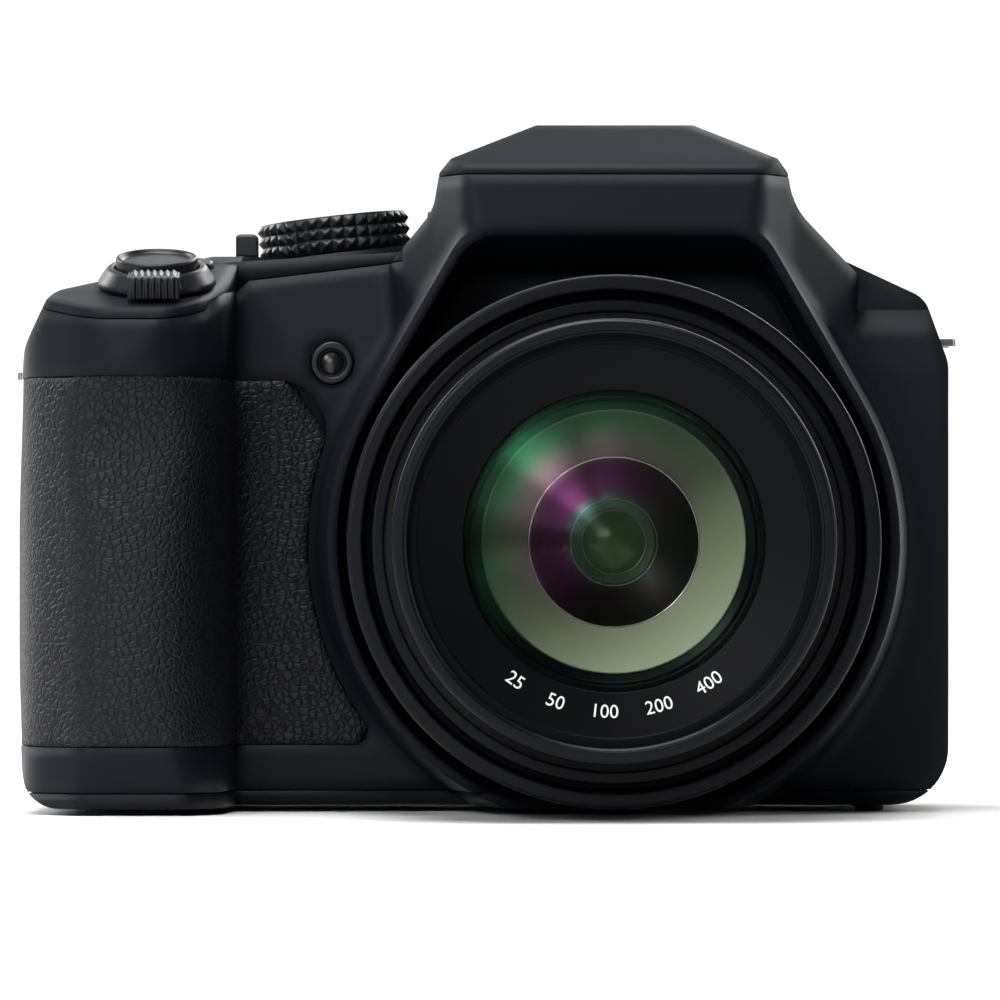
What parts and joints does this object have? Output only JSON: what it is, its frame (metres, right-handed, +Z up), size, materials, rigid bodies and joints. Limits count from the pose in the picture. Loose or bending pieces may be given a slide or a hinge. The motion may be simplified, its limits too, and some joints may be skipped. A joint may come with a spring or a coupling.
{
  "type": "bridge camera",
  "caption": "Bridge camera with a retracting zoom lens, pop-up flash, electronic viewfinder, rubber grip, dials, buttons and a hinged battery door.",
  "frame": {"origin": "mouth of the tripod socket, straight under the lens axis, on the plane of the base plate", "axes": "+X to the right as the front is seen, +Y to the back, away from the subject, +Z up; the lens looks along -Y"},
  "size_m": [0.1309, 0.1192, 0.0943],
  "materials": {
    "shell_black": "finely textured navy-black polycarbonate",
    "grip_rubber": "leather-grain rubber",
    "soft_rubber": "smooth matt rubber",
    "barrel_black": "satin black moulded barrel",
    "ring_black": "satin black trim ring",
    "dial_black": "knurled black plastic",
    "button_black": "satin black button plastic",
    "coated_glass": "coated optical glass",
    "lamp_glass": "clear lamp lens",
    "flash_glass": "ribbed clear flash window",
    "display_glass": "glossy black display window",
    "panel_metal": "plain sheet housing",
    "bright_steel": "polished steel",
    "screw_black": "blackened steel",
    "bush_metal": "nickel-plated brass",
    "inner_black": "matt black inner moulding",
    "gear_white": "natural acetal",
    "motor_metal": "drawn motor case",
    "board_green": "solder-resist green board",
    "sensor_metal": "sensor package on its plate",
    "battery_grey": "grey battery case",
    "card_blue": "dark blue card",
    "capacitor_black": "sleeved capacitor"
  },
  "bodies": {
    "body": {"front_cover": "shell_black", "rear_cover": "shell_black", "top_cover": "shell_black", "bottom_cover": "shell_black", "grip_rubber": "grip_rubber", "strap_lugs": "bright_steel", "screws": "screw_black", "focus_lamp": "lamp_glass", "tripod_bush": "bush_metal", "feet": "soft_rubber", "battery_bay": "inner_black", "battery": "battery_grey", "memory_card": "card_blue", "main_board": "board_green", "terminal_sockets": "bright_steel", "flash_capacitor": "capacitor_black", "flash_frame": "inner_black", "flash_hinge_pin": "bright_steel", "fixed_barrel": "barrel_black", "lens_base": "inner_black", "guide_rods": "bright_steel", "zoom_motor": "motor_metal", "image_sensor": "sensor_metal", "evf_tube": "inner_black", "evf_lens": "coated_glass", "evf_eyecup": "soft_rubber", "lcd_window": "display_glass", "lcd_panel": "panel_metal", "thumb_rest": "grip_rubber"},
    "middle_barrel": {"middle_barrel": "barrel_black"},
    "front_barrel": {"front_barrel": "barrel_black", "name_ring": "ring_black", "front_glass": "coated_glass"},
    "cam_tube": {"cam_tube": "inner_black"},
    "zoom_pinion": {"zoom_pinion": "gear_white"},
    "zoom_cell": {"zoom_cell": "inner_black", "zoom_glass": "coated_glass", "iris_unit": "inner_black"},
    "focus_cell": {"focus_cell": "inner_black", "focus_glass": "coated_glass"},
    "flash_cover": {"flash_cover": "shell_black", "flash_window": "flash_glass", "flash_reflector": "bright_steel", "flash_tube": "flash_glass"},
    "flash_release": {"flash_release": "button_black"},
    "mode_dial": {"mode_dial": "dial_black"},
    "shutter_button": {"shutter_button": "button_black"},
    "zoom_lever": {"zoom_lever": "dial_black"},
    "power_switch": {"power_switch": "button_black"},
    "video_button": {"video_button": "button_black"},
    "rear_dial": {"rear_dial": "dial_black"},
    "viewfinder_button": {"viewfinder_button": "button_black"},
    "playback_button": {"playback_button": "button_black"},
    "display_button": {"display_button": "button_black"},
    "cursor_pad": {"cursor_pad": "button_black"},
    "menu_button": {"menu_button": "button_black"},
    "battery_door": {"battery_door": "shell_black"},
    "battery_latch": {"battery_latch": "button_black"},
    "terminal_cover": {"terminal_cover": "soft_rubber"},
    "diopter_dial": {"diopter_dial": "dial_black"}
  },
  "joints": [
    {"name": "zoom_extend", "type": "slide", "parent": "body", "child": "middle_barrel", "axis": [0, -1, 0], "range_m": [0, 0.032]},
    {"name": "front_extend", "type": "slide", "parent": "middle_barrel", "child": "front_barrel", "axis": [0, -1, 0], "range_m": [0, 0.034]},
    {"name": "cam_turn", "type": "hinge", "parent": "body", "child": "cam_tube", "pos_m": [0, 0, 0.036], "axis": [0, 1, 0], "range_deg": [0, 120]},
    {"name": "pinion_turn", "type": "hinge", "parent": "body", "child": "zoom_pinion", "pos_m": [0.02771, 0, 0.052], "axis": [0, 1, 0], "range_deg": [-649, 0]},
    {"name": "zoom_group_slide", "type": "slide", "parent": "body", "child": "zoom_cell", "axis": [0, -1, 0], "range_m": [0, 0.02]},
    {"name": "focus_slide", "type": "slide", "parent": "body", "child": "focus_cell", "axis": [0, -1, 0], "range_m": [0, 0.005]},
    {"name": "flash_pop", "type": "hinge", "parent": "body", "child": "flash_cover", "pos_m": [0, 0.001, 0.0921], "axis": [-1, 0, 0], "range_deg": [0, 70]},
    {"name": "flash_release_press", "type": "slide", "parent": "body", "child": "flash_release", "axis": [-1, 0, 0], "range_m": [0, 0.0008], "stiffness_N_per_m": 400},
    {"name": "mode_dial_turn", "type": "hinge", "parent": "body", "child": "mode_dial", "pos_m": [-0.0389, 0.005, 0.0769], "axis": [-0.1132, 0, 0.9936], "continuous": true},
    {"name": "shutter_press", "type": "slide", "parent": "body", "child": "shutter_button", "axis": [0, 0.2434, -0.9699], "range_m": [0, 0.001], "stiffness_N_per_m": 400},
    {"name": "zoom_lever_turn", "type": "hinge", "parent": "body", "child": "zoom_lever", "pos_m": [-0.0623, -0.03, 0.07098], "axis": [0, -0.2434, 0.9699], "range_deg": [-25, 25], "stiffness_Nm_per_rad": 0.01},
    {"name": "power_slide", "type": "slide", "parent": "body", "child": "power_switch", "axis": [0, -1, 0], "range_m": [0, 0.004]},
    {"name": "video_press", "type": "slide", "parent": "body", "child": "video_button", "axis": [0, 0.2434, -0.9699], "range_m": [0, 0.0005], "stiffness_N_per_m": 400},
    {"name": "rear_dial_turn", "type": "hinge", "parent": "body", "child": "rear_dial", "pos_m": [-0.065, 0.0176, 0.0646], "axis": [0, 0, 1], "continuous": true},
    {"name": "viewfinder_press", "type": "slide", "parent": "body", "child": "viewfinder_button", "axis": [0, -1, 0], "range_m": [0, 0.0005], "stiffness_N_per_m": 400},
    {"name": "playback_press", "type": "slide", "parent": "body", "child": "playback_button", "axis": [0, -1, 0], "range_m": [0, 0.0005], "stiffness_N_per_m": 400},
    {"name": "display_press", "type": "slide", "parent": "body", "child": "display_button", "axis": [0, -1, 0], "range_m": [0, 0.0005], "stiffness_N_per_m": 400},
    {"name": "cursor_rock", "type": "hinge", "parent": "body", "child": "cursor_pad", "pos_m": [-0.054, 0.0249, 0.0265], "axis": [1, 0, 0], "range_deg": [-2, 2], "stiffness_Nm_per_rad": 0.05},
    {"name": "menu_press", "type": "slide", "parent": "body", "child": "menu_button", "axis": [0, -1, 0], "range_m": [0, 0.0005], "stiffness_N_per_m": 400},
    {"name": "battery_door_turn", "type": "hinge", "parent": "body", "child": "battery_door", "pos_m": [-0.062, 0.0092, 0.0008], "axis": [1, 0, 0], "range_deg": [0, 95]},
    {"name": "battery_latch_slide", "type": "slide", "parent": "battery_door", "child": "battery_latch", "axis": [1, 0, 0], "range_m": [0, 0.003]},
    {"name": "terminal_cover_turn", "type": "hinge", "parent": "body", "child": "terminal_cover", "pos_m": [-0.0797, 0.01925, 0.038], "axis": [0, 0, -1], "range_deg": [0, 95]},
    {"name": "diopter_turn", "type": "hinge", "parent": "body", "child": "diopter_dial", "pos_m": [-0.025, 0.0215, 0.0796], "axis": [1, 0, 0], "range_deg": [-150, 150]}
  ],
  "couplings": [
    {"joint": "front_extend", "follows": "zoom_extend", "ratio": 1.0625},
    {"joint": "zoom_group_slide", "follows": "zoom_extend", "ratio": 0.625},
    {"joint": "cam_turn", "follows": "zoom_extend", "rad_per_m": 65.45},
    {"joint": "pinion_turn", "follows": "zoom_extend", "rad_per_m": -353.43}
  ]
}
